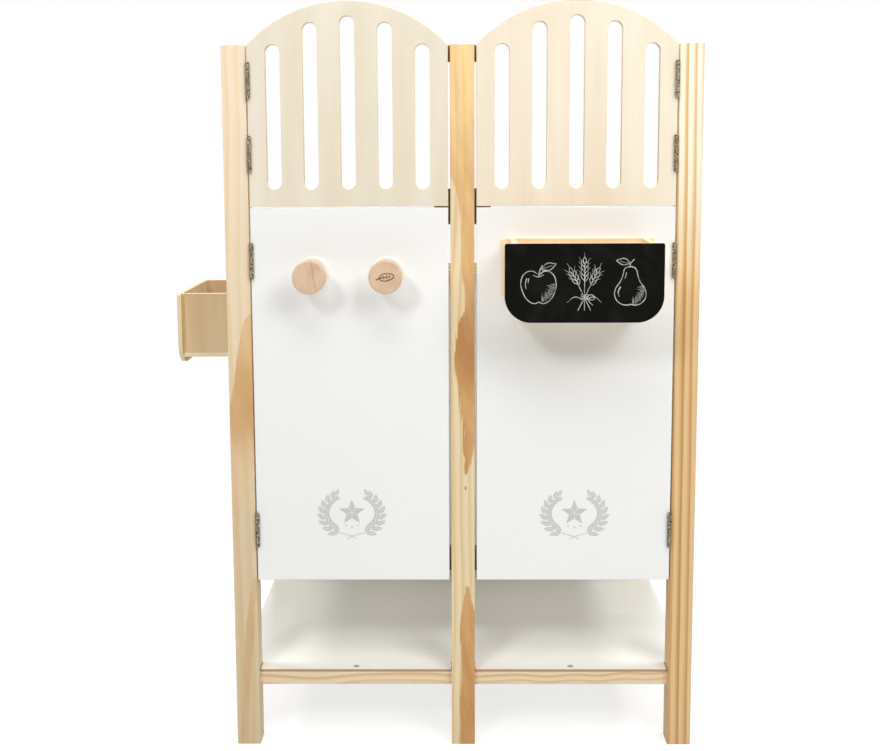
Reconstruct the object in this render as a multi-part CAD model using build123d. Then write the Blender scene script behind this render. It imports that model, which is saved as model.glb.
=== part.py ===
from build123d import *
from collections import namedtuple
import math
import os

# Toy horse stable with two stalls, each closed by a lower and an arched upper door.
# Millimetres. X runs to the viewer's right, Y to the back, Z up. The origin is the
# centre of the front middle post's foot.

# Frame
frame_width = 690
frame_depth = 430
front_post_height = 1050
back_post_height = 700
post_size = 35
post_rounding = 1.5

# Rails that join the posts, under the floor and along the top of the low walls
rail_height = 20
rail_depth = 22
rail_setback = 10
rail_rounding = 1

# Floor board
floor_height = 115
floor_thickness = 4
floor_notch_gap = 1

# Low walls: two side panels, two back panels and the partition between the stalls
panel_thickness = 12

# Doors
door_thickness = 12
door_rounding = 0.8
door_bottom = 260
lower_door_height = 558
door_split_gap = 2
upper_door_side_height = 230
arch_rise = 62
hinge_gap = 2
closing_gap = 3

# Vertical slots of the upper doors, with round ends that follow an arc at the top
slot_count = 5
slot_width = 21.5
slot_pitch = 53.6
slot_bottom_margin = 25
slot_top_margin = 21
slot_arc_radius = 164

# Butt hinges, whose knuckles stand in front of the doors' outer edges
hinge_length = 51
hinge_knuckles = 5
knuckle_gap = 0.3
barrel_radius = 3
barrel_inset = 2.3
barrel_standoff = 0.2
leaf_thickness = 0.8
leaf_width = 11
pin_radius = 1.5
pin_clearance = 0.05
pin_head_radius = 2.6
pin_head_height = 1.2
hinge_screw_spread = 34
upper_hinge_top_inset = 50
upper_hinge_bottom_inset = 75
lower_hinge_inset = 77.5

# Magnetic catches on the middle post, behind the doors' free edges
catch_reach = 24
catch_thickness = 14
catch_rounding = 1
top_catch_height = 23
split_catch_height = 52
split_magnet_spread = 26
low_catch_height = 35
low_catch_lift = 10
magnet_radius = 5
magnet_length = 6
magnet_proud = 0.2
strike_radius = 7
strike_thickness = 1
strike_gap = 0.3

# Turned pegs for bridles, below the top edge of the lower left door
peg_drop = 96
peg_spread = 109
peg_base_radius = 25
peg_base_thickness = 6
peg_neck_radius = 10
peg_neck_length = 30
peg_neck_rounding = 4
peg_head_radius = 24
peg_head_thickness = 14
peg_rounding = 2.5

# Feed boxes, one on the lower right door and one on the left wall, each below its top edge
box_width = 220
box_plate_height = 110
box_depth = 95
box_plate_thickness = 6
box_corner_radius = 37
box_top_corner_radius = 3
box_wall_thickness = 8
box_wall_height = 93
box_wall_inset = 10.5
box_bottom_thickness = 6
box_screw_spread = 120
box_screw_drop = 35
door_box_drop = 45
door_box_offset = 3
side_box_drop = 19
side_box_front = 95

# Fasteners: countersunk screws, long frame screws and wood dowels
Screw = namedtuple("Screw", "head_radius head_height shank_radius length slot_length slot_width")
hinge_screw = Screw(2.0, leaf_thickness, 1.1, 12, 2.4, 0.5)
floor_screw = Screw(4.7, 3.0, 2.0, 20, 4.2, 1.1)
wood_screw = Screw(4.0, 2.6, 1.9, 20, 4.6, 0.9)
box_screw = Screw(3.4, 2.2, 1.6, 15, 4.0, 0.8)
peg_screw = Screw(3.8, 2.4, 1.8, 30, 4.4, 0.9)
frame_screw = Screw(5.0, 3.2, 3.0, 62, 5.4, 1.2)
screw_fit = 0.05
frame_screw_lift = 4.5
panel_screw_inset = 60
dowel_radius = 4
dowel_length = 28
dowel_fit = 0.05
rail_dowel_drop = 4.5
wall_dowel_inset = 50

# How far a cutting shape runs past the piece that it cuts
cut_overrun = 1

# Places worked out from the sizes above
half_width = frame_width / 2
front = -post_size / 2
back = front + frame_depth
outer_face = half_width - post_size
middle_face = post_size / 2
bay_centre = (outer_face + middle_face) / 2
bay_width = outer_face - middle_face
post_back = front + post_size
rear_post_front = back - post_size
floor_underside = floor_height - floor_thickness
lower_rail_bottom = floor_underside - rail_height
top_rail_bottom = back_post_height - rail_height
wall_bottom = door_bottom
panel_inner_x = half_width - panel_thickness
panel_inner_y = back - panel_thickness
door_back = front + door_thickness
door_outer = outer_face - hinge_gap
door_inner = middle_face + closing_gap
door_width = door_outer - door_inner
door_centre = (door_outer + door_inner) / 2
door_split = door_bottom + lower_door_height
upper_door_bottom = door_split + door_split_gap
upper_door_side_top = upper_door_bottom + upper_door_side_height
arch_top = upper_door_side_top + arch_rise
hinge_axis_x = outer_face - hinge_gap / 2 - barrel_inset
hinge_axis_y = front - barrel_radius - barrel_standoff
magnet_face = door_back + strike_thickness + strike_gap
catch_front = magnet_face + magnet_proud
catch_x = middle_face + catch_reach / 2
split_centre = door_split + door_split_gap / 2
top_catch_centre = upper_door_side_top - top_catch_height / 2
low_catch_centre = door_bottom + low_catch_lift + low_catch_height / 2
upper_magnets = (split_centre + split_magnet_spread / 2, top_catch_centre)
lower_magnets = (split_centre - split_magnet_spread / 2, low_catch_centre)
upper_hinges = (upper_door_bottom + upper_hinge_bottom_inset, upper_door_side_top - upper_hinge_top_inset)
lower_hinges = (door_bottom + lower_hinge_inset, door_split - lower_hinge_inset)
door_hinges = {"upper": upper_hinges, "lower": lower_hinges}
door_magnets = {"upper": upper_magnets, "lower": lower_magnets}
sides = {"left": -1, "right": 1}
peg_places = {name: side * peg_spread / 2 - door_centre for name, side in sides.items()}
peg_height = door_split - peg_drop
door_box_x = door_centre + door_box_offset
door_box_top = door_split - door_box_drop
side_box_top = back_post_height - side_box_drop
side_box_y = front + side_box_front + box_width / 2
box_outer_width = box_width - 2 * box_wall_inset


def block(x_range, y_range, z_range):
    """A straight block between two places along each axis."""
    (x0, x1), (y0, y1), (z0, z1) = x_range, y_range, z_range
    centre = Pos((x0 + x1) / 2, (y0 + y1) / 2, (z0 + z1) / 2)
    return centre * Box(abs(x1 - x0), abs(y1 - y0), abs(z1 - z0))


def rounded(shape, axis, radius):
    """Rounds the edges that run along one axis."""
    return fillet(shape.edges().filter_by(axis), radius)


def aimed(shape, place, direction):
    """Puts a shape made along +Z at a place, pointing in a direction."""
    return Plane(origin=place, z_dir=direction) * shape


def rod(radius, length):
    return Cylinder(radius, length, align=(Align.CENTER, Align.CENTER, Align.MIN))


def screw_form(size, fit=0.0):
    """Countersunk screw along +Z, with the face of its head at the origin."""
    bottom = (Align.CENTER, Align.CENTER, Align.MIN)
    head = Cone(size.head_radius + fit, size.shank_radius + fit, size.head_height, align=bottom)
    return head + rod(size.shank_radius + fit, size.length + fit)


def cross_recess(size):
    depth = size.head_height * 0.6
    bar = Box(size.slot_length, size.slot_width, 2 * depth)
    return bar + Rot(0, 0, 90) * bar


def screws(places, direction, size):
    form = screw_form(size) - cross_recess(size)
    return Compound(children=[aimed(form, place, direction) for place in places])


def drill(shape, places, direction, size):
    """Cuts the screws' holes into a piece that they pass through or end in."""
    for place in places:
        shape -= aimed(screw_form(size, screw_fit), place, direction)
    return shape


def dowels(places, direction):
    """Wood dowels, half of each on either side of the joint where it is placed."""
    pin = Pos(0, 0, -dowel_length / 2) * rod(dowel_radius, dowel_length)
    pin = chamfer(pin.edges().filter_by(GeomType.CIRCLE), 1)
    return [aimed(pin, place, direction) for place in places]


def drill_dowels(shape, places, direction):
    length = dowel_length + 2 * dowel_fit
    hole = Pos(0, 0, -length / 2) * rod(dowel_radius + dowel_fit, length)
    for place in places:
        shape -= aimed(hole, place, direction)
    return shape


# Places of fasteners


def rail_heights():
    return {"floor": lower_rail_bottom + rail_height / 2, "top": top_rail_bottom + rail_height / 2}


def cross_rail_lines():
    """Centre lines of the rails that run along X: (name, y, z)."""
    heights = rail_heights()
    rear_y = panel_inner_y - rail_depth / 2
    return (
        ("front_rail", front + rail_setback + rail_depth / 2, heights["floor"]),
        ("back_rail", rear_y, heights["floor"]),
        ("back_top_rail", rear_y, heights["top"]),
    )


def side_rail_lines():
    """Centre lines of the rails that run along Y: (name, distance from the middle, z)."""
    heights = rail_heights()
    side_x = panel_inner_x - rail_depth / 2
    return (("side_rail", side_x, heights["floor"]), ("side_top_rail", side_x, heights["top"]))


def frame_screw_places(side):
    """On the outer face of a side's posts, in line with the rails along X."""
    return [(side * half_width, y, z + frame_screw_lift) for name, y, z in cross_rail_lines()]


def middle_dowel_places(side):
    return [(side * middle_face, y, z - rail_dowel_drop) for name, y, z in cross_rail_lines()]


def side_dowel_places(side, joint_y):
    rails = [(side * x, joint_y, z - rail_dowel_drop) for name, x, z in side_rail_lines()]
    panel_x = side * (half_width - panel_thickness / 2)
    middle = (wall_bottom + back_post_height) / 2
    return rails + [(panel_x, joint_y, z) for z in (wall_bottom + wall_dowel_inset, middle)]


def partition_dowel_places(joint_y):
    heights = (wall_bottom + wall_dowel_inset, back_post_height - wall_dowel_inset)
    return [(0, joint_y, z) for z in heights]


def floor_screw_places():
    """One above each rail under the floor that runs along X, in the middle of its bay."""
    rails = [y for name, y, z in cross_rail_lines() if z < floor_height]
    return [(side * bay_centre, y, floor_height) for side in sides.values() for y in rails]


def side_panel_screw_places(side):
    z = rail_heights()["top"]
    ends = (post_back + panel_screw_inset, rear_post_front - panel_screw_inset)
    return [(side * half_width, y, z) for y in ends]


def back_panel_screw_places(side):
    spread = bay_width / 2 - panel_screw_inset
    return [
        (side * bay_centre + offset, back, z)
        for z in rail_heights().values()
        for offset in (-spread, spread)
    ]


def hinge_screw_places(side, height, face_x):
    y = front + leaf_width / 2
    spread = hinge_screw_spread / 2
    return [(side * face_x, y, height + offset) for offset in (-spread, spread)]


def frame_leaf_screws(side, height):
    return hinge_screw_places(side, height, outer_face - leaf_thickness)


def door_leaf_screws(side, height):
    return hinge_screw_places(side, height, door_outer + leaf_thickness)


def box_screw_places():
    """In the box's own frame: on the inner face of its back plate."""
    spread = box_screw_spread / 2
    return [(offset, -box_plate_thickness, -box_screw_drop) for offset in (-spread, spread)]


# Frame


def front_post(side):
    """Front posts: side is -1 or 1 for the outer ones and 0 for the middle one."""
    centre = side * (half_width - middle_face)
    faces = (centre - post_size / 2, centre + post_size / 2)
    post = rounded(block(faces, (front, post_back), (0, front_post_height)), Axis.Z, post_rounding)
    if side == 0:
        for end in sides.values():
            post = drill_dowels(post, middle_dowel_places(end)[:1], (end, 0, 0))
        return drill_dowels(post, partition_dowel_places(post_back), (0, 1, 0))
    post = drill(post, frame_screw_places(side)[:1], (-side, 0, 0), frame_screw)
    post = drill_dowels(post, side_dowel_places(side, post_back), (0, 1, 0))
    for height in upper_hinges + lower_hinges:
        post = drill(post, frame_leaf_screws(side, height), (side, 0, 0), hinge_screw)
    return post


def back_post(side):
    centre = side * (half_width - middle_face)
    faces = (centre - post_size / 2, centre + post_size / 2)
    post = rounded(block(faces, (rear_post_front, back), (0, back_post_height)), Axis.Z, post_rounding)
    if side == 0:
        for end in sides.values():
            post = drill_dowels(post, middle_dowel_places(end)[1:], (end, 0, 0))
        return drill_dowels(post, partition_dowel_places(rear_post_front), (0, 1, 0))
    post = drill(post, frame_screw_places(side)[1:], (-side, 0, 0), frame_screw)
    return drill_dowels(post, side_dowel_places(side, rear_post_front), (0, 1, 0))


def cross_rail(side, y, z):
    """A rail along X between the middle post and an outer post."""
    ends = (side * middle_face, side * outer_face)
    rail = block(ends, (y - rail_depth / 2, y + rail_depth / 2), (z - rail_height / 2, z + rail_height / 2))
    rail = rounded(rail, Axis.X, rail_rounding)
    rail = drill(rail, [(side * half_width, y, z + frame_screw_lift)], (-side, 0, 0), frame_screw)
    rail = drill_dowels(rail, [(side * middle_face, y, z - rail_dowel_drop)], (side, 0, 0))
    rail = drill(rail, floor_screw_places(), (0, 0, -1), floor_screw)
    return drill(rail, back_panel_screw_places(side), (0, -1, 0), wood_screw)


def side_rail(side, x, z):
    """A rail along Y between the front and the back post of one side."""
    x_range = (side * (x - rail_depth / 2), side * (x + rail_depth / 2))
    rail = block(x_range, (post_back, rear_post_front), (z - rail_height / 2, z + rail_height / 2))
    rail = rounded(rail, Axis.Y, rail_rounding)
    for joint_y in (post_back, rear_post_front):
        rail = drill_dowels(rail, side_dowel_places(side, joint_y), (0, 1, 0))
    return drill(rail, side_panel_screw_places(side), (-side, 0, 0), wood_screw)


def floor_board():
    """Board over the rails, notched round the six posts, as wide as the frame."""
    z_range = (floor_underside, floor_height)
    board = block((-half_width, half_width), (front + rail_setback, panel_inner_y), z_range)
    reach = post_size / 2 + floor_notch_gap
    for side in (-1, 0, 1):
        centre = side * (half_width - middle_face)
        x_range = (centre - reach, centre + reach)
        board -= block(x_range, (front - cut_overrun, post_back + floor_notch_gap), z_range)
        board -= block(x_range, (rear_post_front - floor_notch_gap, back + cut_overrun), z_range)
    return drill(board, floor_screw_places(), (0, 0, -1), floor_screw)


# Low walls


def side_panel(side):
    x_range = (side * panel_inner_x, side * half_width)
    panel = block(x_range, (post_back, rear_post_front), (wall_bottom, back_post_height))
    for joint_y in (post_back, rear_post_front):
        panel = drill_dowels(panel, side_dowel_places(side, joint_y), (0, 1, 0))
    panel = drill(panel, side_panel_screw_places(side), (-side, 0, 0), wood_screw)
    if side < 0:
        places = [side_box_place() * Pos(*place) for place in box_screw_places()]
        panel = drill(panel, [place.position for place in places], (1, 0, 0), box_screw)
    return panel


def back_panel(side):
    x_range = (side * middle_face, side * outer_face)
    panel = block(x_range, (panel_inner_y, back), (lower_rail_bottom, back_post_height))
    return drill(panel, back_panel_screw_places(side), (0, -1, 0), wood_screw)


def partition():
    half = panel_thickness / 2
    panel = block((-half, half), (post_back, rear_post_front), (wall_bottom, back_post_height))
    for joint_y in (post_back, rear_post_front):
        panel = drill_dowels(panel, partition_dowel_places(joint_y), (0, 1, 0))
    return panel


# Doors


def door_face_plane():
    """Plane of the doors' back face, seen from the front, whose normal points to the viewer."""
    return Plane(origin=(0, door_back, 0), x_dir=(1, 0, 0), z_dir=(0, -1, 0))


def slot_face(offset):
    """One round-ended slot, at a distance from the door's centre line."""
    drop = slot_arc_radius - math.sqrt(slot_arc_radius**2 - offset**2)
    top = arch_top - slot_top_margin - drop
    bottom = upper_door_bottom + slot_bottom_margin
    return Pos(offset, (top + bottom) / 2) * SlotOverall(top - bottom, slot_width, rotation=90)


def upper_door_form():
    half = door_width / 2
    straight = Polyline(
        (-half, upper_door_side_top), (-half, upper_door_bottom),
        (half, upper_door_bottom), (half, upper_door_side_top),
    )
    arch = ThreePointArc((half, upper_door_side_top), (0, arch_top), (-half, upper_door_side_top))
    face = make_face(straight + arch)
    for index in range(slot_count):
        face -= slot_face((index - (slot_count - 1) / 2) * slot_pitch)
    door = extrude(door_face_plane() * face, door_thickness)
    front_edges = door.faces().sort_by(Axis.Y)[0].edges()
    return fillet(front_edges, door_rounding)


def lower_door_form():
    half = door_width / 2
    door = block((-half, half), (front, door_back), (door_bottom, door_split))
    return fillet(door.faces().sort_by(Axis.Y)[0].edges(), door_rounding)


def hang(door, side, level):
    """Moves a door to its bay and drills it for its hinges."""
    door = Pos(side * door_centre, 0, 0) * door
    for height in door_hinges[level]:
        door = drill(door, door_leaf_screws(side, height), (-side, 0, 0), hinge_screw)
    return door


def lower_left_door():
    door = hang(lower_door_form(), -1, "lower")
    return drill(door, peg_screw_places(), (0, -1, 0), peg_screw)


def lower_right_door():
    door = hang(lower_door_form(), 1, "lower")
    places = [door_box_place() * Pos(*place) for place in box_screw_places()]
    return drill(door, [place.position for place in places], (0, 1, 0), box_screw)


# Hinges


def knuckle_ranges(height, parity):
    """Height ranges of every second knuckle; parity 0 takes the outer ones."""
    pitch = hinge_length / hinge_knuckles
    start = height - hinge_length / 2
    return [
        (start + index * pitch, start + (index + 1) * pitch)
        for index in range(parity, hinge_knuckles, 2)
    ]


def hinge_leaf(side, height, x_range, parity):
    """A leaf with its knuckles, cut back where the other leaf's knuckles turn."""
    z_range = (height - hinge_length / 2, height + hinge_length / 2)
    leaf = block(x_range, (hinge_axis_y, front + leaf_width), z_range)
    clear_y = hinge_axis_y + barrel_radius + knuckle_gap
    for low, high in knuckle_ranges(height, 1 - parity):
        other = (low - knuckle_gap / 2, high + knuckle_gap / 2)
        wide = (side * (outer_face + cut_overrun), side * (door_outer - cut_overrun))
        leaf -= block(wide, (hinge_axis_y - cut_overrun, clear_y), other)
    first, last = z_range
    for low, high in knuckle_ranges(height, parity):
        bottom = low if low <= first + knuckle_gap else low + knuckle_gap / 2
        top = high if high >= last - knuckle_gap else high - knuckle_gap / 2
        leaf += Pos(side * hinge_axis_x, hinge_axis_y, bottom) * rod(barrel_radius, top - bottom)
    bore = rod(pin_radius + pin_clearance, hinge_length + 2 * cut_overrun)
    return leaf - Pos(side * hinge_axis_x, hinge_axis_y, first - cut_overrun) * bore


def frame_leaf(side, height):
    leaf = hinge_leaf(side, height, (side * (outer_face - leaf_thickness), side * outer_face), 0)
    return drill(leaf, frame_leaf_screws(side, height), (side, 0, 0), hinge_screw)


def door_leaf(side, height):
    leaf = hinge_leaf(side, height, (side * door_outer, side * (door_outer + leaf_thickness)), 1)
    return drill(leaf, door_leaf_screws(side, height), (-side, 0, 0), hinge_screw)


def hinge_pin(side, height):
    """Loose pin with a flat head that sits on the top knuckle."""
    low = height - hinge_length / 2
    shank = Pos(side * hinge_axis_x, hinge_axis_y, low) * rod(pin_radius, hinge_length)
    head = rod(pin_head_radius, pin_head_height)
    head = chamfer(head.edges().sort_by(Axis.Z)[-1], pin_head_height / 3)
    return shank + Pos(side * hinge_axis_x, hinge_axis_y, low + hinge_length) * head


def all_hinges():
    return [(side, height) for side in sides.values() for height in upper_hinges + lower_hinges]


# Catches


def catch_magnets_at():
    return [(side, z) for side in sides.values() for z in upper_magnets + lower_magnets]


def magnet_form(fit=0.0):
    return rod(magnet_radius + fit, magnet_length + fit)


def catch_housing(side, centre, height):
    x_range = (side * middle_face, side * (middle_face + catch_reach))
    z_range = (centre - height / 2, centre + height / 2)
    housing = block(x_range, (catch_front, catch_front + catch_thickness), z_range)
    outer = housing.faces().sort_by(Axis.X)[0 if side < 0 else -1]
    housing = fillet(outer.edges(), catch_rounding)
    for magnet_side, z in catch_magnets_at():
        place = (magnet_side * catch_x, magnet_face, z)
        housing -= aimed(magnet_form(screw_fit), place, (0, 1, 0))
    return housing


def catch_housings():
    kinds = (
        (top_catch_centre, top_catch_height),
        (split_centre, split_catch_height),
        (low_catch_centre, low_catch_height),
    )
    return [catch_housing(side, *kind) for side in sides.values() for kind in kinds]


def catch_magnets():
    return [
        aimed(magnet_form(), (side * catch_x, magnet_face, z), (0, 1, 0))
        for side, z in catch_magnets_at()
    ]


def strike_plates(side, level):
    plate = rod(strike_radius, strike_thickness)
    plate = chamfer(plate.edges().sort_by(Axis.Z)[-1], strike_thickness / 4)
    return [aimed(plate, (side * catch_x, door_back, z), (0, 1, 0)) for z in door_magnets[level]]


# Pegs


def peg_screw_places():
    return [(x, door_back, peg_height) for x in peg_places.values()]


def peg_form():
    """Turned peg along +Z: a flange against the door, a neck and a round head."""
    neck_top = peg_base_thickness + peg_neck_length
    top = neck_top + peg_head_thickness
    outline = Polyline(
        (0, 0), (peg_base_radius, 0), (peg_base_radius, peg_base_thickness),
        (peg_neck_radius, peg_base_thickness), (peg_neck_radius, neck_top),
        (peg_head_radius, neck_top), (peg_head_radius, top), (0, top), close=True,
    )
    face = make_face(outline)
    corners = face.vertices()
    neck = [v for v in corners if abs(v.X - peg_neck_radius) < 0.1]
    rim = [v for v in corners if v.X > peg_neck_radius + 1 and v.Y > 0.1]
    face = fillet(neck, peg_neck_rounding)
    face = fillet([v for v in face.vertices() if any(v.distance_to(r) < 0.01 for r in rim)], peg_rounding)
    return revolve(Plane.XZ * face, Axis.Z)


def peg(x):
    turned = aimed(peg_form(), (x, front, peg_height), (0, -1, 0))
    return drill(turned, peg_screw_places(), (0, -1, 0), peg_screw)


# Feed boxes, each built with its back at y = 0, its top at z = 0 and its front at -Y


def box_plate():
    """Plate with large round lower corners, its back face at y = 0."""
    face = Pos(0, -box_plate_height / 2) * Rectangle(box_width, box_plate_height)
    face = fillet(face.vertices().group_by(Axis.Y)[0], box_corner_radius)
    face = fillet(face.vertices().group_by(Axis.Y)[-1], box_top_corner_radius)
    upright = Plane(origin=(0, 0, 0), x_dir=(1, 0, 0), z_dir=(0, -1, 0))
    return extrude(upright * face, box_plate_thickness)


def box_back():
    return drill(box_plate(), box_screw_places(), (0, 1, 0), box_screw)


def box_front():
    return Pos(0, box_plate_thickness - box_depth, 0) * box_plate()


def box_inner_range():
    return (box_plate_thickness - box_depth, -box_plate_thickness)


def box_wall(side):
    outer = box_outer_width / 2
    x_range = (side * (outer - box_wall_thickness), side * outer)
    return block(x_range, box_inner_range(), (-box_wall_height, 0))


def box_bottom():
    outer = box_outer_width / 2
    z_range = (-box_wall_height - box_bottom_thickness, -box_wall_height)
    return block((-outer, outer), box_inner_range(), z_range)


def box_pieces():
    walls = Compound(children=[box_wall(side) for side in sides.values()])
    fixings = screws(box_screw_places(), (0, 1, 0), box_screw)
    return {
        "front": box_front(),
        "back": box_back(),
        "walls": walls,
        "bottom": box_bottom(),
        "screws": fixings,
    }


def door_box_place():
    return Pos(door_box_x, front, door_box_top)


def side_box_place():
    return Pos(-half_width, side_box_y, side_box_top) * Rot(0, 0, -90)


def group(shapes):
    return Compound(children=list(shapes))


def build_frame(pieces):
    names = {"left": -1, "middle": 0, "right": 1}
    for name, side in names.items():
        pieces[f"front_post_{name}"] = front_post(side)
        pieces[f"back_post_{name}"] = back_post(side)
    for name, side in sides.items():
        for rail, y, z in cross_rail_lines():
            pieces[f"{rail}_{name}"] = cross_rail(side, y, z)
        for rail, x, z in side_rail_lines():
            pieces[f"{rail}_{name}"] = side_rail(side, x, z)
        pieces[f"side_panel_{name}"] = side_panel(side)
        pieces[f"back_panel_{name}"] = back_panel(side)
    pieces["floor_board"] = floor_board()
    pieces["partition"] = partition()


def build_fasteners(pieces):
    pieces["floor_screws"] = screws(floor_screw_places(), (0, 0, -1), floor_screw)
    panel_fixings = []
    long_screws = []
    pegs_of_wood = []
    for side in sides.values():
        panel_fixings.append(screws(side_panel_screw_places(side), (-side, 0, 0), wood_screw))
        panel_fixings.append(screws(back_panel_screw_places(side), (0, -1, 0), wood_screw))
        long_screws.append(screws(frame_screw_places(side), (-side, 0, 0), frame_screw))
        pegs_of_wood += dowels(middle_dowel_places(side), (side, 0, 0))
        for joint_y in (post_back, rear_post_front):
            pegs_of_wood += dowels(side_dowel_places(side, joint_y), (0, 1, 0))
    for joint_y in (post_back, rear_post_front):
        pegs_of_wood += dowels(partition_dowel_places(joint_y), (0, 1, 0))
    pieces["panel_screws"] = group(s for batch in panel_fixings for s in batch.solids())
    pieces["frame_screws"] = group(s for batch in long_screws for s in batch.solids())
    pieces["frame_dowels"] = group(pegs_of_wood)


def build_doors(pieces):
    for name, side in sides.items():
        pieces[f"upper_{name}_door_panel"] = hang(upper_door_form(), side, "upper")
        for level, heights in door_hinges.items():
            door = f"{level}_{name}_door"
            pieces[f"{door}_hinge_leaves"] = group(door_leaf(side, height) for height in heights)
            batches = [screws(door_leaf_screws(side, h), (-side, 0, 0), hinge_screw) for h in heights]
            pieces[f"{door}_hinge_screws"] = group(s for batch in batches for s in batch.solids())
            pieces[f"{door}_strike_plates"] = group(strike_plates(side, level))
    pieces["lower_left_door_panel"] = lower_left_door()
    pieces["lower_right_door_panel"] = lower_right_door()


def build_hinges_and_catches(pieces):
    pieces["hinge_frame_leaves"] = group(frame_leaf(side, height) for side, height in all_hinges())
    pieces["hinge_pins"] = group(hinge_pin(side, height) for side, height in all_hinges())
    batches = [screws(frame_leaf_screws(s, h), (s, 0, 0), hinge_screw) for s, h in all_hinges()]
    pieces["hinge_frame_screws"] = group(s for batch in batches for s in batch.solids())
    pieces["catch_housings"] = group(catch_housings())
    pieces["catch_magnets"] = group(catch_magnets())


def build_pegs_and_boxes(pieces):
    for name, x in peg_places.items():
        pieces[f"bridle_peg_{name}"] = peg(x)
    pieces["bridle_peg_screws"] = screws(peg_screw_places(), (0, -1, 0), peg_screw)
    for name, place in {"door_box": door_box_place(), "side_box": side_box_place()}.items():
        for part, shape in box_pieces().items():
            pieces[f"{name}_{part}"] = place * shape


def build_all():
    pieces = {}
    build_frame(pieces)
    build_fasteners(pieces)
    build_doors(pieces)
    build_hinges_and_catches(pieces)
    build_pegs_and_boxes(pieces)
    return pieces


os.makedirs("parts", exist_ok=True)
for node, shape in build_all().items():
    export_step(shape, f"parts/{node}.step")
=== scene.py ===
import math
from typing import NamedTuple

import bpy
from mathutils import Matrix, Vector


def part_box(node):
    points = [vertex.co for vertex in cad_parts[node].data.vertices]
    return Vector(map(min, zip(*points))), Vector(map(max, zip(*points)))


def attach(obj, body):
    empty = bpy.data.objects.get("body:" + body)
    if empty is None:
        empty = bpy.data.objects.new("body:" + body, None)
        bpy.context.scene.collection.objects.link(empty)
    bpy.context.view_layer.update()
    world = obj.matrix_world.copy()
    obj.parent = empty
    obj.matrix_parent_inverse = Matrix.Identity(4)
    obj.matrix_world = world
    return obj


# Looks of a toy horse stable. Metres, with X to the right, Y to the back and Z up.
# Patterns inside the materials and the drawings are laid out in millimetres.

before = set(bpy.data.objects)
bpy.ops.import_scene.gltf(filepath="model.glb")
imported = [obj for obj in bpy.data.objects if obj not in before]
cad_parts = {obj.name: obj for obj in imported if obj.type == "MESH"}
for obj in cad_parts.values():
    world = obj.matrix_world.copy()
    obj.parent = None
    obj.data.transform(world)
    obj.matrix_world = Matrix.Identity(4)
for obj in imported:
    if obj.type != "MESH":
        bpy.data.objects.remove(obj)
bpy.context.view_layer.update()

MM = 0.001
SIDES = {"left": -1, "right": 1}
WHITE = (1.0, 1.0, 1.0, 1.0)


def linear(code):
    """The shaders' form of a colour that is written as six hex digits."""
    parts = [int(code[i:i + 2], 16) / 255 for i in (0, 2, 4)]
    return tuple(c / 12.92 if c <= 0.04045 else ((c + 0.055) / 1.055) ** 2.4 for c in parts) + (1.0,)


class Value:
    """A number, colour or vector that a node gives. Sums with numbers add Math nodes to its recipe."""

    def __init__(self, recipe, socket):
        self.recipe = recipe
        self.socket = socket

    def math(self, operation, first, second=0.0):
        settings = {"operation": operation}
        return self.recipe.node("ShaderNodeMath", settings, {0: first, 1: second})

    def __add__(self, other):
        return self.math("ADD", self, other)

    def __radd__(self, other):
        return self.math("ADD", other, self)

    def __sub__(self, other):
        return self.math("SUBTRACT", self, other)

    def __rsub__(self, other):
        return self.math("SUBTRACT", other, self)

    def __mul__(self, other):
        return self.math("MULTIPLY", self, other)

    def __rmul__(self, other):
        return self.math("MULTIPLY", other, self)

    def __truediv__(self, other):
        return self.math("DIVIDE", self, other)

    def __pow__(self, other):
        return self.math("POWER", self, other)

    def __abs__(self):
        return self.math("ABSOLUTE", self)

    def part(self):
        """What is left of a number after its whole steps."""
        return self.math("FRACT", self)

    def steps(self):
        """The whole steps of a number."""
        return self.math("FLOOR", self)

    def larger(self, other):
        return self.math("MAXIMUM", self, other)

    def smaller(self, other):
        return self.math("MINIMUM", self, other)


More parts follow.
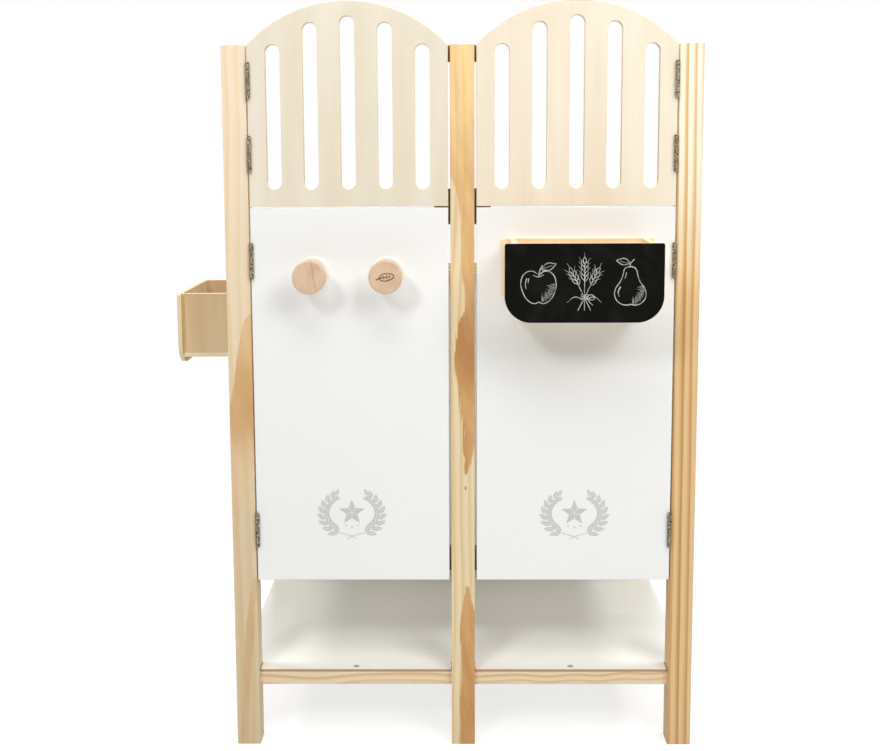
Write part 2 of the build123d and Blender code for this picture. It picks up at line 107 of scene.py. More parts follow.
class Recipe:
    """One finish, mixed from nodes."""

    def __init__(self, name):
        self.material = bpy.data.materials.new(name)
        self.material.use_nodes = True
        self.tree = self.material.node_tree
        self.shader = self.tree.nodes["Principled BSDF"]

    def feed(self, socket, value):
        if isinstance(value, Value):
            self.tree.links.new(value.socket, socket)
        else:
            socket.default_value = value

    def node(self, kind, settings=None, values=None, output=0):
        """Adds a node: its settings come first, then the values or links of its sockets."""
        node = self.tree.nodes.new(kind)
        for name, setting in (settings or {}).items():
            if name == "points":
                self.set_points(node.mapping, setting)
            else:
                setattr(node, name, setting)
        for name, value in (values or {}).items():
            self.feed(node.inputs[name], value)
        return Value(self, node.outputs[output])

    def set_points(self, mapping, points):
        line = mapping.curves[0]
        line.points[0].location = points[0]
        line.points[1].location = points[-1]
        for point in points[1:-1]:
            line.points.new(*point)
        mapping.update()

    def place(self):
        """Where a point lies on the finished object, in millimetres."""
        metres = self.node("ShaderNodeTexCoord", output="Object")
        settings = {"operation": "SCALE"}
        return self.node("ShaderNodeVectorMath", settings, {0: metres, "Scale": 1 / MM})

    def facing(self):
        """The surface's direction on the piece, as three numbers that stay with it as it moves."""
        return self.split(self.node("ShaderNodeTexCoord", output="Normal"))

    def split(self, vector):
        return [self.node("ShaderNodeSeparateXYZ", {}, {0: vector}, axis) for axis in range(3)]

    def join(self, x, y, z):
        return self.node("ShaderNodeCombineXYZ", {}, {0: x, 1: y, 2: z})

    def noise(self, vector, scale=1.0, detail=2.0, roughness=0.5, distortion=0.0):
        values = {
            "Vector": vector, "Scale": scale, "Detail": detail,
            "Roughness": roughness, "Distortion": distortion,
        }
        return self.node("ShaderNodeTexNoise", {}, values)

    def wander(self, value, seed, detail=1.0):
        """A number that drifts about 0.5 as another one grows."""
        values = {"W": value + seed, "Scale": 1.0, "Detail": detail}
        return self.node("ShaderNodeTexNoise", {"noise_dimensions": "1D"}, values)

    def rise(self, value, low, high):
        """0 below low, 1 above high, and smooth between."""
        values = {"Value": value, "From Min": low, "From Max": high}
        return self.node("ShaderNodeMapRange", {"interpolation_type": "SMOOTHSTEP"}, values)

    def curve(self, value, points):
        """A line through points, read at a value from 0 to 1."""
        return self.node("ShaderNodeFloatCurve", {"points": points}, {"Value": value})

    def mix(self, share, first, second, mode="MIX"):
        """Mixes two colours, which a Mix node has as its inputs 6 and 7 and its output 2."""
        settings = {"data_type": "RGBA", "blend_type": mode}
        return self.node("ShaderNodeMix", settings, {0: share, 6: first, 7: second}, 2)

    def tint(self, colour, amount):
        """Makes a colour lighter or darker by a varying factor."""
        if not isinstance(colour, Value):
            colour = colour[:3]
        settings = {"operation": "SCALE"}
        return self.node("ShaderNodeVectorMath", settings, {0: colour, "Scale": amount})

    def bump(self, height, depth, strength):
        values = {"Height": height, "Distance": depth, "Strength": strength}
        return self.node("ShaderNodeBump", {}, values)

    def finish(self, **values):
        """Feeds the shader's sockets, which are named in small letters."""
        for name, value in values.items():
            socket = name.replace("_", " ").title().replace("Ior", "IOR")
            self.feed(self.shader.inputs[socket], value)
        return self.material


# Pine

KNOT_BROWN = "8D6748"
END_GRAIN_BROWN = "C79F68"


class Pine(NamedTuple):
    """The growth of one timber, in millimetres, and its colours."""

    # Axis of its length
    along: str
    # Where the middle of the tree would lie, in the two directions across the timber
    pith: tuple
    # Width of a growth ring
    spacing: float
    # How far the rings stray for each millimetre of length
    tilt: float
    # Length and size of their waves
    wave: tuple
    seed: int
    # Colours of the early and the late wood
    light: str
    dark: str
    # A darker foot: the colour is multiplied by this one, less and less between two heights. On the left
    # post it is painted shade, a grey darkening towards the floor
    deep: str = None
    fade: tuple = None
    # A knot: its places across and along the timber, and its radius
    knot: tuple = None


def timber_lines(recipe, pine):
    """Gives the length, the two places across, and the distance from the pith."""
    place = recipe.place()
    x, y, z = recipe.split(place)
    length, across, depth = {"X": (x, z, y), "Y": (y, z, x), "Z": (z, x, y)}[pine.along]
    wave_length, wave_size = pine.wave
    first = (recipe.wander(length / wave_length, pine.seed) - 0.5) * wave_size
    second = (recipe.wander(length / wave_length, pine.seed + 31) - 0.5) * wave_size
    from_pith = across - pine.pith[0] + length * pine.tilt + first
    behind_pith = depth - pine.pith[1] + second
    distance = (from_pith * from_pith + behind_pith * behind_pith) ** 0.5
    return length, across, depth, distance


def pine_wood(name, pine, heart):
    """Lacquered pine; heart(recipe, length, across, depth) gives the heartwood's share and colours."""
    recipe = Recipe(name)
    length, across, depth, distance = timber_lines(recipe, pine)
    long_cells = recipe.join(across * 0.11, depth * 0.11, length * 0.004 + pine.seed)
    coarse = recipe.noise(long_cells, detail=3.0)
    fine_cells = recipe.join(across * 1.3, depth * 1.3, length * 0.018)
    fibre = recipe.noise(fine_cells, detail=3.0, roughness=0.6)
    rings = distance / pine.spacing + (coarse - 0.5) * 0.35
    phase = rings.part()
    late = recipe.rise(phase, 0.3, 0.85) * (1 - recipe.rise(phase, 0.85, 1.0))
    strength = 0.45 + recipe.wander(rings.steps() * 0.73, pine.seed + 7) * 0.9
    fine = (distance / (pine.spacing * 0.27) + (coarse - 0.5) * 1.2).part()
    late = (late * strength + recipe.rise(fine, 0.3, 1.0) * 0.14).smaller(1.0)
    wood = recipe.mix(late, linear(pine.light), linear(pine.dark))
    if heart:
        share, red, ring = heart(recipe, length, across, depth)
        red = recipe.mix(late * 0.14, red, linear(ring))
        wood = recipe.mix(share, wood, red)
    # Darker foot; on the left post this is painted shade, grey and growing towards the floor
    if pine.deep:
        foot = 1 - recipe.rise(length, *pine.fade)
        wood = recipe.mix(foot, wood, linear(pine.deep), "MULTIPLY")
    patch = recipe.noise(recipe.join(across * 0.03, depth * 0.03, length * 0.006 - pine.seed))
    wood = recipe.tint(wood, 0.93 + fibre * 0.07 + patch * 0.08)
    ducts = recipe.noise(recipe.join(across * 1.9, depth * 1.9, length * 0.09), detail=1.0)
    wood = recipe.tint(wood, 1 - recipe.rise(ducts, 0.66, 0.74) * 0.08)
    if pine.knot:
        knot_across, knot_length, radius = pine.knot
        stretch = 2.2
        beside = across - knot_across + (coarse - 0.5) * 4
        above = (length - knot_length) / stretch
        inside = 1 - recipe.rise((beside * beside + above * above) ** 0.5, radius * 0.3, radius)
        wood = recipe.mix(inside * 0.7, wood, linear(KNOT_BROWN))
    axis = "XYZ".index(pine.along)
    end_grain = recipe.rise(abs(recipe.facing()[axis]), 0.7, 0.9)
    wood = recipe.mix(end_grain * 0.45, wood, linear(END_GRAIN_BROWN), "MULTIPLY")
    height = fibre * 0.6 + late * 0.5
    return recipe.finish(
        base_color=wood,
        roughness=0.4 + fibre * 0.12 + end_grain * 0.15,
        normal=recipe.bump(height, 0.12 * MM, 0.5),
        specular_ior_level=0.35,
    )


def heart_between(node, left_edge, right_edge, tones, colours, ragged, strength=None, soft=0.01):
    """Heartwood of a post between two edges, each a line of (height, share of the width) points.

    Tones and strength are lines of (height, value) points. A curve node reads from 0 to 1 alone,
    so shares of the width from -0.5 to 1.5 are pressed together to fit.
    """
    low, high = (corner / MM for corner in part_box(node))
    width = high.x - low.x
    height = high.z
    lowest_share, reach = -0.5, 2.0

    def pressed(share):
        return (share - lowest_share) / reach

    def scaled(points):
        return [(z / height, pressed(share)) for z, share in points]

    def level(points):
        return [(z / height, value) for z, value in points]

    def heart(recipe, length, across, depth):
        up = length / height
        torn_cells = recipe.join(across * 0.6, depth * 0.12, length * 0.02)
        fibres = recipe.noise(torn_cells, detail=5.0, roughness=0.6)
        share = (across - low.x) / width + (fibres - 0.5) * ragged + (depth - low.y) * 0.004
        place = pressed(share)
        inside = recipe.rise(place - recipe.curve(up, scaled(left_edge)), -soft, soft)
        inside = inside * recipe.rise(recipe.curve(up, scaled(right_edge)) - place, -soft, soft)
        if strength:
            inside = inside * recipe.curve(up, level(strength))
        clouds = recipe.join(across * 0.05 + length * 0.012, depth * 0.05, length * 0.011)
        mottle = recipe.noise(clouds, detail=3.0)
        tone = recipe.curve(up, level(tones)) + (mottle - 0.5) * 0.7
        light, dark = colours
        return inside, recipe.mix(tone, linear(light), linear(dark)), dark

    return heart


left_post_heart = heart_between(
    "front_post_left",
    left_edge=[
        (0, 0.15), (70, 0.28), (130, 0.38), (180, 0.48), (220, 0.62), (262, 0.85),
        (285, 1.3), (296, 1.3), (300, -0.4), (500, -0.2), (530, 0.05), (575, 0.28),
        (622, 0.48), (656, 0.75), (672, 1.2), (715, 1.4), (1050, 1.4),
    ],
    right_edge=[
        (0, 0.5), (60, 0.55), (110, 0.66), (160, 0.78), (220, 0.92), (262, 1.1), (285, 1.4),
        (296, 1.4), (300, 0.15), (350, 0.3), (395, 0.55), (430, 0.95), (452, 1.4), (1050, 1.4),
    ],
    tones=[
        (0, 0.5), (150, 0.55), (262, 0.4), (400, 0.1), (470, 0.45),
        (540, 0.9), (600, 0.65), (649, 0.5), (1050, 0.2),
    ],
    colours=("FADDB3", "DDB07A"),
    ragged=0.3,
    strength=[
        (0, 0.45), (150, 0.75), (262, 0.7), (288, 0.0), (303, 0.1),
        (345, 0.5), (430, 0.7), (500, 1.0), (1050, 1.0),
    ],
    soft=0.022,
)
middle_post_heart = heart_between(
    "front_post_middle",
    left_edge=[
        (0, 0.35), (55, 0.36), (85, 0.4), (130, 0.42), (160, 0.42), (182, 0.35), (198, 0.38),
        (210, 0.45), (236, 0.55), (251, 0.65), (260, 1.4), (414, 1.4), (421, 0.6), (432, 0.55),
        (446, 0.6), (454, 0.5), (489, 0.5), (526, 0.37), (561, 0.28), (591, 0.12), (609, 0.2),
        (639, 0.3), (657, 0.4), (661, 0.52), (676, 0.6), (706, 0.55), (739, 0.45), (758, 0.5),
        (796, 0.45), (818, 0.38), (841, 0.25), (863, 0.0), (885, -0.4), (1050, -0.4),
    ],
    right_edge=[
        (0, 1.4), (190, 1.3), (215, 0.95), (236, 0.82), (251, 0.7), (266, 0.4), (408, 0.4), (421, 0.68),
        (434, 0.8), (450, 0.9), (480, 1.05), (520, 1.4), (1050, 1.4),
    ],
    tones=[
        (0, 0.78), (220, 0.85), (420, 0.8), (520, 0.82), (600, 0.95), (650, 0.9), (700, 0.64),
        (800, 0.5), (900, 0.42), (960, 0.2), (1050, 0.08),
    ],
    colours=("FDDA9E", "BE8A50"),
    ragged=0.45,
)

HEARTS = {"front_post_left": left_post_heart, "front_post_middle": middle_post_heart}
HIDDEN_RAIL = ("EFDAB2", "D8AC76")
TIMBERS = {
    # The left post's grey foot colour is painted shade that darkens it towards the floor
    "front_post_left": Pine(
        "Z", (-395, 60), 11, 0.004, (420, 9), 3, "F6E3C7", "F0D7B1", deep="E2DED2", fade=(100, 1100),
    ),
    "front_post_middle": Pine(
        "Z", (95, 70), 9, -0.006, (380, 8), 12, "EBD7B0", "DFC293", knot=(4, 401, 2.2),
    ),
    "front_post_right": Pine(
        "Z", (233.5, -70), 10.8, 0.0035, (500, 5), 21, "FFF6DF", "E0B87A", deep="E3CAA8", fade=(650, 900),
    ),
    "back_post_left": Pine("Z", (-300, 470), 5, 0.006, (300, 8), 34, "F0DBB0", "DDB581"),
    "back_post_middle": Pine("Z", (60, 360), 6, -0.004, (350, 8), 45, "F0DBB0", "DDB581"),
    "back_post_right": Pine("Z", (390, 450), 4.5, 0.005, (320, 9), 56, "F2DDB4", "DDB27A"),
    "front_rail_left": Pine("X", (60, 30), 8.5, 0.012, (170, 15), 61, "EED9B7", "DBBA90"),
    "front_rail_right": Pine("X", (62, 22), 7.2, -0.03, (150, 20), 73, "EED8B6", "DAB68B"),
    "back_rail_left": Pine("X", (70, 420), 6, 0.01, (200, 14), 81, *HIDDEN_RAIL),
    "back_rail_right": Pine("X", (120, 430), 6.5, -0.01, (180, 14), 92, *HIDDEN_RAIL),
    "back_top_rail_left": Pine("X", (650, 420), 5.5, 0.012, (220, 16), 104, *HIDDEN_RAIL),
    "back_top_rail_right": Pine("X", (720, 370), 6, 0.008, (200, 14), 115, *HIDDEN_RAIL),
    "side_rail_left": Pine("Y", (70, -300), 6, 0.01, (190, 14), 126, *HIDDEN_RAIL),
    "side_rail_right": Pine("Y", (130, 290), 5.5, 0.012, (180, 14), 137, *HIDDEN_RAIL),
    "side_top_rail_left": Pine("Y", (655, -350), 6, 0.012, (210, 14), 148, *HIDDEN_RAIL),
    "side_top_rail_right": Pine("Y", (730, 300), 6, 0.012, (200, 14), 159, *HIDDEN_RAIL),
}


# Boards

EDGE_PALE = "F3E5C8"
EDGE_DEEP = "E0CA9F"


class Board(NamedTuple):
    """A plywood board: the axis through it, where it starts there, its thickness and its layers."""

    axis: int
    start: float
    thickness: float
    plies: int


def ply_lines(recipe, through, board):
    """The layers on a board's edge, 0 in the pale ones and 1 in the dark ones, and their glue."""
    layer = (through - board.start) / (board.thickness / board.plies)
    grain_turned = recipe.rise((layer / 2).part(), 0.46, 0.54)
    glue = recipe.rise(abs(layer.part() - 0.5), 0.42, 0.5)
    return grain_turned, glue


def plywood(name, board, pale, deep):
    """Pale fine-grained board with its layers on the edges, as a recipe and its values."""
    recipe = Recipe(name)
    place = recipe.place()
    where = recipe.split(place)
    through = where[board.axis]
    across = where[1 - board.axis] if board.axis < 2 else where[0]
    up = where[2]
    figure_width, figure_drift = 17, 60
    fine_cells = recipe.join(across * 0.9, through * 0.2, up * 0.005)
    fine = recipe.noise(fine_cells, detail=3.0, roughness=0.6)
    broad = recipe.noise(recipe.join(across * 0.022, through * 0.02, up * 0.0025), detail=2.0)
    cloud = recipe.noise(place, scale=0.012, detail=2.0)
    figure = ((across + (broad - 0.5) * figure_drift + up * 0.01) / figure_width).part()
    line = recipe.rise(abs(figure - 0.5), 0.3, 0.5)
    share = fine * 0.22 + recipe.rise(broad, 0.3, 0.7) * 0.6 + line * 0.1
    face = recipe.mix(share.smaller(1.0), linear(pale), linear(deep))
    flecks = recipe.noise(recipe.join(across * 1.6, through, up * 0.05), detail=1.0)
    face = recipe.tint(face, (0.975 + cloud * 0.05) - recipe.rise(flecks, 0.68, 0.78) * 0.02)
    grain_turned, glue = ply_lines(recipe, through, board)
    rough = recipe.noise(place, scale=0.6, detail=3.0)
    edge = recipe.mix(grain_turned, linear(EDGE_PALE), linear(EDGE_DEEP))
    edge = recipe.tint(edge, 0.92 + rough * 0.16 - glue * 0.14)
    on_edge = 1 - recipe.rise(abs(recipe.facing()[board.axis]), 0.6, 0.8)
    colour = recipe.mix(on_edge, face, edge)
    height = fine * 0.5 + on_edge * rough * 0.8
    return recipe, dict(
        base_color=colour,
        roughness=0.42 + fine * 0.1 + on_edge * 0.15,
        normal=recipe.bump(height, 0.1 * MM, 0.4),
    )


def white_paint(name, tone, raw_edges=False):
    """White satin paint with the faint texture of a roller, and bare brown edges if they are raw."""
    recipe = Recipe(name)
    place = recipe.place()
    roller = recipe.noise(place, scale=0.55, detail=3.0, roughness=0.55)
    cloud = recipe.noise(place, scale=0.006, detail=2.0)
    colour = recipe.tint(linear(tone), 0.985 + cloud * 0.02 + roller * 0.01)
    if raw_edges:
        raw = 1 - recipe.rise(abs(recipe.facing()[2]), 0.6, 0.8)
        fibres = recipe.noise(place, scale=1.4, detail=3.0)
        brown = recipe.mix(fibres, linear("A8845C"), linear("C4A074"))
        colour = recipe.mix(raw, colour, brown)
    return recipe.finish(
        base_color=colour,
        roughness=0.4 + roller * 0.12,
        normal=recipe.bump(roller, 0.06 * MM, 0.35),
    )


def plywood_board(name, board, pale, deep):
    recipe, values = plywood(name, board, pale, deep)
    return recipe.finish(**values)


def chalkboard(name, board, pale, deep):
    """A plywood plate painted matt black on its first face and lightly dusted with chalk."""
    recipe, values = plywood(name, board, pale, deep)
    painted = recipe.rise(recipe.facing()[board.axis] * -1, 0.75, 0.9)
    place = recipe.place()
    wiped = recipe.noise(place, scale=0.02, detail=4.0, distortion=1.5)
    grit = recipe.noise(place, scale=1.2, detail=4.0, roughness=0.7)
    dust = recipe.rise(wiped, 0.42, 0.75) * (0.3 + grit * 0.7)
    black = recipe.mix(dust * 0.012, linear("0C0B08"), linear("D8D8D2"))
    values["base_color"] = recipe.mix(painted, values["base_color"], black)
    values["roughness"] = 0.5 + painted * 0.16 + grit * 0.08
    values["normal"] = recipe.bump(grit, 0.08 * MM, 0.35)
    values["specular_ior_level"] = 0.06
    return recipe.finish(**values)


def turned_beech(name, head, door, seed, streak):
    """Lacquered beech of a turned peg, with short flecks and a darker line, and a painted highlight that
    turns its foot near white.

    head is the peg's middle, door the place of its foot, and streak how far the line lies beside
    the middle.
    """
    painted_highlight_depth, painted_highlight_fade = 5.5, 2.0
    line_spacing = 4.6
    recipe = Recipe(name)
    x, y, z = recipe.split(recipe.place())
    across = x - head.x
    bend = (recipe.wander(z * 0.05, seed) - 0.5) * 3
    lines = ((across + bend + z * 0.22 + y * 0.15) / line_spacing + seed).part()
    growth = recipe.rise(abs(lines - 0.5), 0.3, 0.5)
    dark_line = 1 - recipe.rise(abs(across + bend - streak + (z - head.z) * 0.18), 0.2, 1.3)
    flecks = recipe.noise(recipe.join(across * 1.7, y * 1.7, z * 0.3), detail=2.0)
    cloud = recipe.noise(recipe.join(x * 0.05, y * 0.05, z * 0.03 + seed), detail=2.0)
    share = growth * 0.14 + recipe.rise(cloud, 0.3, 0.7) * 0.6 + recipe.rise(flecks, 0.55, 0.75) * 0.2
    colour = recipe.mix(share.smaller(1.0), linear("DFC2A6"), linear("CAA281"))
    colour = recipe.mix(dark_line * 0.5, colour, linear("A87F5E"))
    # Painted highlight: within a few millimetres of the door the beech is mixed towards near white
    foot = recipe.rise(y, door - painted_highlight_depth - painted_highlight_fade, door - painted_highlight_depth)
    colour = recipe.mix(foot * 0.85, colour, linear("FAF3EA"))
    return recipe.finish(
        base_color=colour,
        roughness=0.36 + flecks * 0.14,
        normal=recipe.bump(flecks, 0.08 * MM, 0.4),
    )


def antique_metal():
    """Dull antique plating of the hinges, worn bright in patches."""
    recipe = Recipe("antique_hinge_metal")
    place = recipe.place()
    mottle = recipe.noise(place, scale=0.34, detail=5.0, roughness=0.75)
    grain = recipe.noise(place, scale=1.6, detail=3.0)
    patina = recipe.rise(mottle + (grain - 0.5) * 0.4, 0.44, 0.54)
    colour = recipe.mix(patina, linear("B8AA90"), linear("352E24"))
    colour = recipe.tint(colour, 0.8 + grain * 0.4)
    return recipe.finish(
        base_color=colour,
        metallic=0.55 + (1 - patina) * 0.25,
        roughness=0.45 + mottle * 0.25,
        normal=recipe.bump(mottle + grain * 0.5, 0.12 * MM, 0.6),
    )


def plated_steel(name, tone, polish, metallic):
    recipe = Recipe(name)
    place = recipe.place()
    drawn = recipe.noise(place, scale=1.6, detail=3.0)
    spots = recipe.noise(place, scale=0.4, detail=4.0)
    colour = recipe.mix(spots, linear(tone), linear("8C8B88"))
    return recipe.finish(
        base_color=recipe.tint(colour, 0.85 + drawn * 0.3),
        metallic=metallic,
        roughness=polish + drawn * 0.15,
        normal=recipe.bump(drawn, 0.03 * MM, 0.4),
    )


def brown_plastic():
    recipe = Recipe("brown_catch_plastic")
    place = recipe.place()
    grain = recipe.noise(place, scale=1.8, detail=3.0)
    cloud = recipe.noise(place, scale=0.08)
    colour = recipe.mix(cloud, linear("8C6A40"), linear("A07C50"))
    return recipe.finish(
        base_color=recipe.tint(colour, 0.9 + grain * 0.2),
        roughness=0.38 + grain * 0.16,
        normal=recipe.bump(grain, 0.05 * MM, 0.4),
    )


def beech_dowel():
    recipe = Recipe("bare_beech_dowel")
    place = recipe.place()
    grain = recipe.noise(place, scale=0.8, detail=4.0)
    fleck = recipe.noise(place, scale=2.5, detail=2.0)
    colour = recipe.mix(grain, linear("E8D2A6"), linear("C9A775"))
    return recipe.finish(
        base_color=recipe.tint(colour, 0.92 + fleck * 0.14),
        roughness=0.55 + grain * 0.15,
        normal=recipe.bump(grain, 0.1 * MM, 0.4),
    )


# Finishes of the pieces that come with the frame

BOX_PLIES = 5
BOX_WALL_THICKNESS = 8
DOOR_PLIES = 7


def coat(node, material):
    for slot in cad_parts[node].material_slots:
        slot.material = material


def measured_board(node, axis, plies):
    """A plywood board as it lies in the frame, in millimetres."""
    low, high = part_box(node)
    return Board(axis, low[axis] / MM, (high[axis] - low[axis]) / MM, plies)


def finish_boards():
    painted = white_paint("white_paint", "F4F4F2")
    for node in (
        "lower_left_door_panel", "lower_right_door_panel", "side_panel_left", "side_panel_right",
        "back_panel_left", "back_panel_right", "partition",
    ):
        coat(node, painted)
    coat("floor_board", white_paint("white_floor_board", "F7F6F0", raw_edges=True))


def finish_upper_doors():
    tones = {"left": ("ECE3D2", "E2D5BB"), "right": ("F4EAD6", "EADABF")}
    for side, (pale, deep) in tones.items():
        panel = f"upper_{side}_door_panel"
        board = measured_board(panel, 1, DOOR_PLIES)
        coat(panel, plywood_board(f"door_plywood_{side}", board, pale, deep))


def finish_boxes():
    """The door box faces the front and the side box the left; both have a black outer plate."""
    # The side box has darker tones than the door box: painted shade, for the lesser light on its left
    # side
    tones = {"door_box": ("F8E5C1", "ECCF9F"), "side_box": ("E2CAA4", "CDAE82")}
    for box, (pale, deep) in tones.items():
        outward = 1 if box == "door_box" else 0
        plates = {"front": outward, "back": outward, "walls": 1 - outward, "bottom": 2}
        for plate, axis in plates.items():
            node = f"{box}_{plate}"
            board = measured_board(node, axis, BOX_PLIES)
            if plate == "walls":
                # Two walls share this node, so its box is as wide as both and the space between
                board = board._replace(thickness=BOX_WALL_THICKNESS)
            finish = chalkboard if plate == "front" else plywood_board
            coat(node, finish(node, board, pale, deep))


def finish_pegs():
    seed = 3.3
    streaks = {"left": 7.0, "right": -30.0}
    for side, streak in streaks.items():
        peg = f"bridle_peg_{side}"
        low, high = (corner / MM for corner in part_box(peg))
        head = (low + high) / 2
        coat(peg, turned_beech(f"turned_beech_{side}", head, high.y, SIDES[side] * seed, streak))


def finish_fittings():
    hinge = antique_metal()
    zinc = plated_steel("zinc_plated_steel", "DAD9D5", polish=0.42, metallic=0.5)
    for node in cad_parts:
        if "hinge" in node:
            coat(node, hinge)
        elif node.endswith(("screws", "strike_plates")):
            coat(node, zinc)
    coat("catch_magnets", plated_steel("nickel_magnet", "B9B6AF", polish=0.22, metallic=0.95))
    coat("frame_dowels", beech_dowel())
    coat("catch_housings", brown_plastic())


for node, pine in TIMBERS.items():
    coat(node, pine_wood(f"pine_{node}", pine, HEARTS.get(node)))
finish_boards()
finish_upper_doors()
finish_boxes()
finish_pegs()
finish_fittings()


# Print on the lower doors, chalk drawing on the feed box and burned leaf on a peg.
# Each is drawn flat, in millimetres about its own middle, and then stood on its board.


def new_drawing(flat):
    """An empty curve in the drawing plane: filled shapes if it is flat, and otherwise round lines."""
    bpy.ops.object.select_all(action="DESELECT")
    bpy.ops.curve.primitive_bezier_curve_add(location=(0, 0, 0))
    drawing = bpy.context.object
    curve = drawing.data
    curve.splines.clear()
    curve.resolution_u = 6
    curve.dimensions = "2D" if flat else "3D"
    if flat:
        curve.fill_mode = "BOTH"
    else:
        curve.bevel_resolution = 1
        curve.use_fill_caps = True
    return drawing


def turned(point, angle, base):
    """A point that is drawn along X, turned by an angle and moved to its base."""
    x, y = point
    cos = math.cos(angle)
    sin = math.sin(angle)
    return base[0] + x * cos - y * sin, base[1] + x * sin + y * cos


def moved(points, centre):
    return [(x + centre[0], y + centre[1]) for x, y in points]


def add_line(curve, points, widths, closed=False):
    """A smooth line through points; its widths are spread evenly over them."""
    spline = curve.splines.new("BEZIER")
    spline.bezier_points.add(len(points) - 1)
    spline.use_cyclic_u = closed
    for index, point in enumerate(spline.bezier_points):
        point.co = (*points[index], 0)
        point.radius = widths[index * len(widths) // len(points)]
        point.handle_left_type = point.handle_right_type = "AUTO"


def add_corners(curve, points):
    """A filled shape with straight sides."""
    spline = curve.splines.new("POLY")
    spline.points.add(len(points) - 1)
    spline.use_cyclic_u = True
    for point, place in zip(spline.points, points):
        point.co = (*place, 0, 1)


def add_leaf(curve, base, angle, length, width):
    """A leaf in two halves, on the two sides of its bare midrib."""
    rib = 0.3
    ends = (
        ((0, rib), (length * 0.33, rib), (length * 0.15, width)),
        ((length, rib), (length * 0.6, width), (length * 0.66, rib)),
    )
    for side in (-1, 1):
        spline = curve.splines.new("BEZIER")
        spline.bezier_points.add(1)
        spline.use_cyclic_u = True
        for point, (place, before, after) in zip(spline.bezier_points, ends):
            point.handle_left_type = point.handle_right_type = "FREE"
            for part, (x, y) in (("co", place), ("handle_left", before), ("handle_right", after)):
                setattr(point, part, (*turned((x, y * side), angle, base), 0))


def stand_on_board(name, drawings, thickness, place, finish):
    """Joins drawings into one thin piece, flat against a board that faces the front."""
    sunk_share = 0.15
    weld = 0.00001
    for drawing in drawings:
        drawing.select_set(True)
    bpy.context.view_layer.objects.active = drawings[0]
    bpy.ops.object.convert(target="MESH")
    if len(drawings) > 1:
        bpy.ops.object.join()
    piece = bpy.context.object
    piece.name = name
    heights = [vertex.co.z for vertex in piece.data.vertices]
    flatten = thickness / (max(heights) - min(heights))
    piece.scale = (MM, MM, MM * flatten)
    piece.rotation_euler = (math.pi / 2, 0, 0)
    lift = (0.5 - sunk_share) * thickness * MM
    piece.location = (place[0], place[1] - lift, place[2])
    bpy.ops.object.transform_apply(location=True, rotation=True, scale=True)
    bpy.ops.object.mode_set(mode="EDIT")
    bpy.ops.mesh.select_all(action="SELECT")
    bpy.ops.mesh.remove_doubles(threshold=weld)
    bpy.ops.mesh.normals_make_consistent(inside=False)
    bpy.ops.object.mode_set(mode="OBJECT")
    bpy.ops.object.select_all(action="DESELECT")
    piece.data.materials.clear()
    piece.data.materials.append(finish)
    return piece


def draw_star(curve, centre, reach, waist, gap):
    """A star of five darts with a fine gap between them."""
    darts = 5
    half = math.pi / darts
    side_x = waist * math.cos(half)
    side_y = waist * math.sin(half)
    dart = [(0, 0), (side_x, -side_y), (reach, 0), (side_x, side_y)]
    for index in range(darts):
        angle = math.pi / 2 + 2 * half * index
        base = turned((gap, 0), angle, centre)
        add_corners(curve, [turned(corner, angle, base) for corner in dart])


def draw_diamond(curve, centre, size):
    add_corners(curve, moved([(0, -size), (size, 0), (0, size), (-size, 0)], centre))


def draw_sprig(layers, stems, side):
    """One leafy sprig that bends round the star; its stem crosses the other one's at the foot.

    Leaves that touch go to different layers, because a filled curve can't overlap itself.
    """
    reach_x, reach_y, rise = 41, 33, 1.5
    stem_foot = (-side * 7, -36.5)
    stem_start, stem_end, stem_step = -80, 51, 13
    pairs, first_pair, pair_step = 8, -62, 15
    leaf_length, shortening, leaf_width = 17.5, 0.75, 4.4
    leaf_lean = math.radians(34)
    stalk = 1.2
    look_ahead = 4
    tip_place, tip_lean, tip_length, tip_width = 55, 22, 12, 3.2

    def on_bend(degrees):
        angle = math.radians(degrees)
        return side * reach_x * math.cos(angle), rise + reach_y * math.sin(angle)

    stem = [stem_foot] + [on_bend(degrees) for degrees in range(stem_start, stem_end, stem_step)]
    add_line(stems, stem, (0.75, 0.65, 0.5, 0.3))
    for pair in range(pairs):
        degrees = first_pair + pair * pair_step
        base = on_bend(degrees)
        ahead = on_bend(degrees + look_ahead)
        along = math.atan2(ahead[1] - base[1], ahead[0] - base[0])
        length = leaf_length - pair * shortening
        for row, outer in enumerate((-1, 1)):
            angle = along + outer * leaf_lean
            leaf_base = turned((stalk, 0), angle, base)
            add_leaf(layers[2 * row + pair % 2], leaf_base, angle, length, leaf_width)
    tip_angle = math.radians(90 + side * tip_lean)
    add_leaf(layers[0], on_bend(tip_place), tip_angle, tip_length, tip_width)


def door_print(name, centre, ink):
    """A star in a wreath of two sprigs, over three small diamonds."""
    leaf_layers = 4
    shapes = new_drawing(flat=True)
    shapes.data.extrude = 0.5
    draw_star(shapes.data, centre=(0, 3), reach=19.5, waist=8.4, gap=0.5)
    for place, size in (((-9, -17), 1.5), ((0, -19), 2.0), ((9, -17), 1.5)):
        draw_diamond(shapes.data, place, size)
    # Each layer is a little thinner than the one before, so that their faces don't meet
    layers = [new_drawing(flat=True) for _ in range(leaf_layers)]
    for index, layer in enumerate(layers):
        layer.data.extrude = 0.48 - 0.03 * index
    stems = new_drawing(flat=False)
    stems.data.bevel_depth = 0.8
    for side in SIDES.values():
        draw_sprig([layer.data for layer in layers], stems.data, side)
    return stand_on_board(name, [shapes, *layers, stems], thickness=0.15, place=centre, finish=ink)


